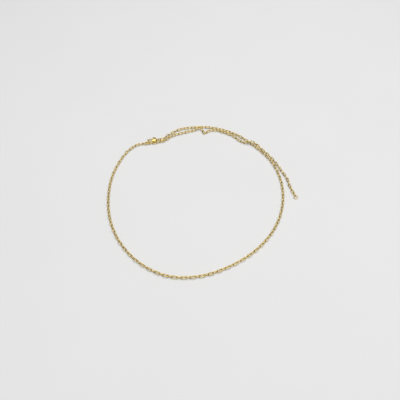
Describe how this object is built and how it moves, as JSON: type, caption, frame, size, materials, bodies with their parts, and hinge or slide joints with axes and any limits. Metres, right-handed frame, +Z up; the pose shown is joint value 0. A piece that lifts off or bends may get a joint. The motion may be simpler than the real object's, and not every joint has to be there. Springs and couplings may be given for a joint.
{
  "type": "chain necklace",
  "caption": "Fine yellow-gold cable chain necklace with a lobster clasp, fastened short on its own links with the free end lying beside the loop.",
  "frame": {"origin": "the middle of the base of the whole chain as it lies, on the surface that it rests on", "axes": "+Z up from the surface; +Y away from the viewer of the picture, towards the clasp and the doubled stretch; +X towards the end ring's side"},
  "size_m": [0.1416, 0.1448, 0.0037],
  "materials": {
    "chain_gold": "polished light yellow gold wire",
    "clasp_gold": "polished light yellow gold, cast",
    "lever_gold": "polished light yellow gold, a little darker in the seams",
    "ring_gold": "polished light yellow gold wire"
  },
  "bodies": {
    "necklace": {"chain_loop": "chain_gold", "chain_tail": "chain_gold", "first_link": "chain_gold", "caught_link": "chain_gold", "last_link": "chain_gold", "clasp_body": "clasp_gold", "clasp_ring": "ring_gold", "end_ring": "ring_gold"},
    "lever": {"clasp_lever": "lever_gold"}
  },
  "joints": [
    {"name": "lever_hinge", "type": "hinge", "parent": "necklace", "child": "lever", "pos_m": [-0.03958, 0.05672, 0.0012], "axis": [0, 0, 1], "range_deg": [0, 17], "stiffness_Nm_per_rad": 0.01, "springref_deg": -11.46}
  ]
}
